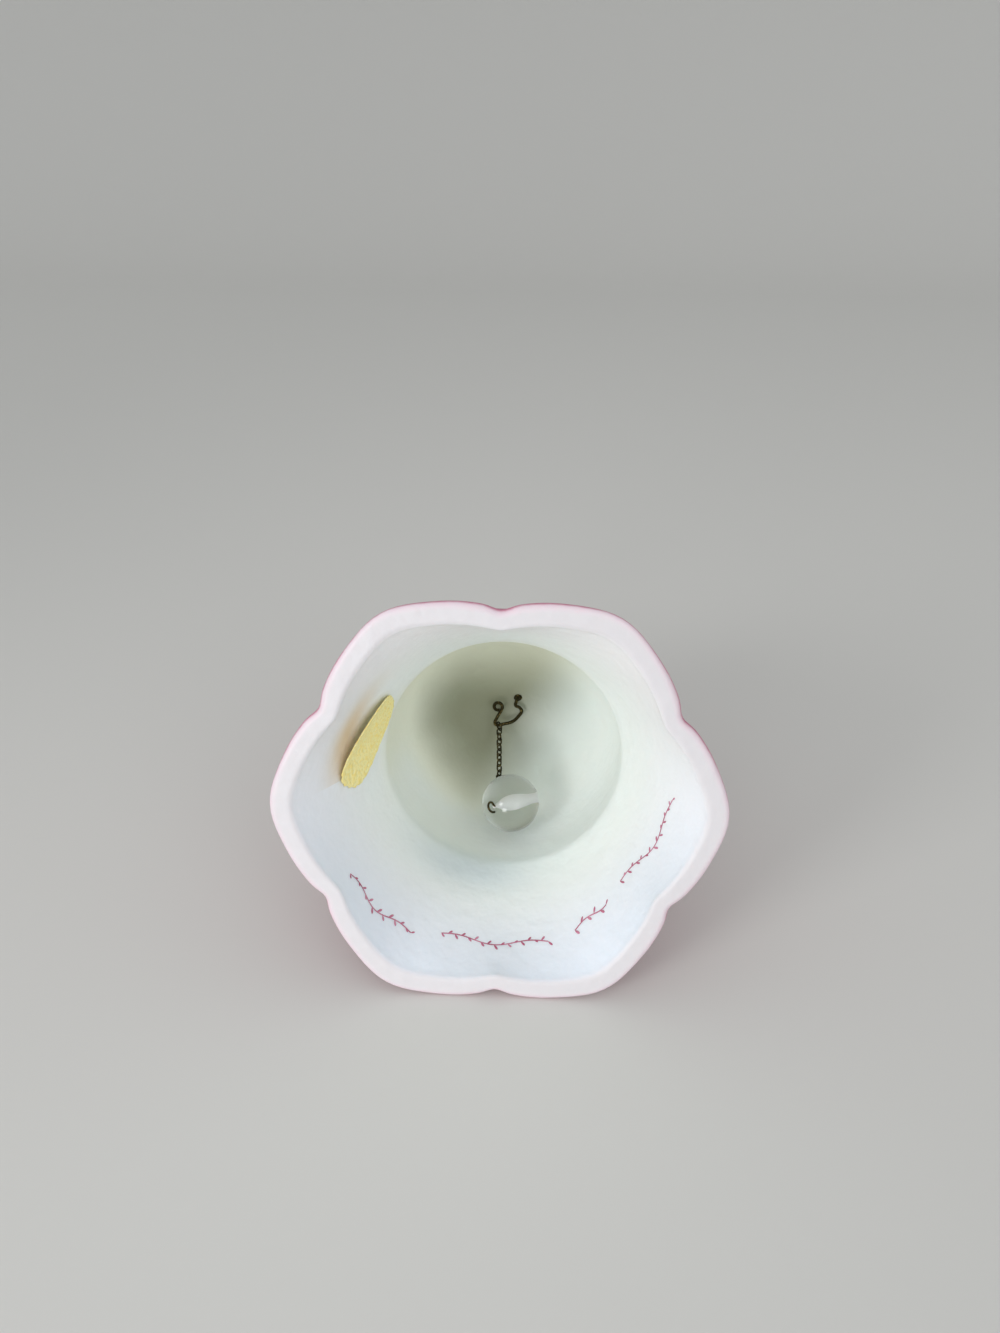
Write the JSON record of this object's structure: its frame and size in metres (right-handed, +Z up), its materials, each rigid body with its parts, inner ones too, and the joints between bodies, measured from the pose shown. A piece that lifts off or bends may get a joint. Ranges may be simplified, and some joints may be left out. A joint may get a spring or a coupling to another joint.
{
  "type": "glass table bell",
  "caption": "Cased glass table bell with a petal mouth and a solid handle, lying on its side, with a clear bead clapper on a fine chain and hook inside.",
  "frame": {"origin": "on the floor plane, at the middle of the bell's footprint as it lies on its side", "axes": "+Z up; the mouth faces -Y and slightly up, and the handle's end rests on the floor at +Y; +X to the right seen from the mouth"},
  "size_m": [0.113, 0.1724, 0.1008],
  "materials": {
    "satin_cased_glass": "satin, pink casing outside over opal white inside",
    "old_brass_wire": "darkened",
    "clear_bead": "clear, polished, with a frosted bore",
    "embossed_foil": "gold foil, finely embossed"
  },
  "bodies": {
    "bell": {"glass_bell": "satin_cased_glass", "crown_hook": "old_brass_wire", "foil_label": "embossed_foil"},
    "ring": {"hook_ring": "old_brass_wire"},
    "link_1": {"chain_link_1": "old_brass_wire"},
    "link_2": {"chain_link_2": "old_brass_wire"},
    "link_3": {"chain_link_3": "old_brass_wire"},
    "link_4": {"chain_link_4": "old_brass_wire"},
    "link_5": {"chain_link_5": "old_brass_wire"},
    "link_6": {"chain_link_6": "old_brass_wire"},
    "link_7": {"chain_link_7": "old_brass_wire"},
    "link_8": {"chain_link_8": "old_brass_wire"},
    "link_9": {"chain_link_9": "old_brass_wire"},
    "pin": {"bead_pin": "old_brass_wire"},
    "bead": {"clapper_bead": "clear_bead"}
  },
  "joints": [
    {"name": "ring_swing", "type": "hinge", "parent": "bell", "child": "ring", "pos_m": [-0.00262, 0.00449, 0.02408], "axis": [-0.8584, 0.1502, -0.4904], "range_deg": [0, 15]},
    {"name": "link_1_swing", "type": "hinge", "parent": "ring", "child": "link_1", "pos_m": [-0.00254, 0.00269, 0.02339], "axis": [-0.5114, -0.3248, 0.7956], "range_deg": [0, 15]},
    {"name": "link_2_swing", "type": "hinge", "parent": "link_1", "child": "link_2", "pos_m": [-0.00246, 0.00082, 0.02268], "axis": [-0.8377, 0.1628, -0.5213], "range_deg": [0, 15]},
    {"name": "link_3_swing", "type": "hinge", "parent": "link_2", "child": "link_3", "pos_m": [-0.00238, -0.00104, 0.02197], "axis": [-0.5771, -0.312, 0.7547], "range_deg": [0, 10]},
    {"name": "link_4_swing", "type": "hinge", "parent": "link_3", "child": "link_4", "pos_m": [-0.00231, -0.00291, 0.02126], "axis": [-0.7924, 0.1873, -0.5805], "range_deg": [0, 15]},
    {"name": "link_5_swing", "type": "hinge", "parent": "link_4", "child": "link_5", "pos_m": [-0.00222, -0.00478, 0.02055], "axis": [-0.6394, -0.2973, 0.7091], "range_deg": [0, 15]},
    {"name": "link_6_swing", "type": "hinge", "parent": "link_5", "child": "link_6", "pos_m": [-0.00215, -0.00665, 0.01983], "axis": [-0.7422, 0.2107, -0.6362], "range_deg": [0, 15]},
    {"name": "link_7_swing", "type": "hinge", "parent": "link_6", "child": "link_7", "pos_m": [-0.00207, -0.00851, 0.01912], "axis": [-0.6976, -0.2808, 0.6592], "range_deg": [0, 15]},
    {"name": "link_8_swing", "type": "hinge", "parent": "link_7", "child": "link_8", "pos_m": [-0.00199, -0.01038, 0.01841], "axis": [-0.6874, 0.2327, -0.688], "range_deg": [0, 15]},
    {"name": "link_9_swing", "type": "hinge", "parent": "link_8", "child": "link_9", "pos_m": [-0.00191, -0.01225, 0.0177], "axis": [-0.7516, -0.2625, 0.6051], "range_deg": [0, 15]},
    {"name": "pin_swing", "type": "hinge", "parent": "link_9", "child": "pin", "pos_m": [-0.00183, -0.01412, 0.01699], "axis": [-0.6284, 0.2533, -0.7355], "range_deg": [0, 15]},
    {"name": "bead_spin", "type": "hinge", "parent": "pin", "child": "bead", "pos_m": [0.002, -0.02378, 0.01464], "axis": [-0.5333, -0.7337, 0.421], "continuous": true}
  ]
}
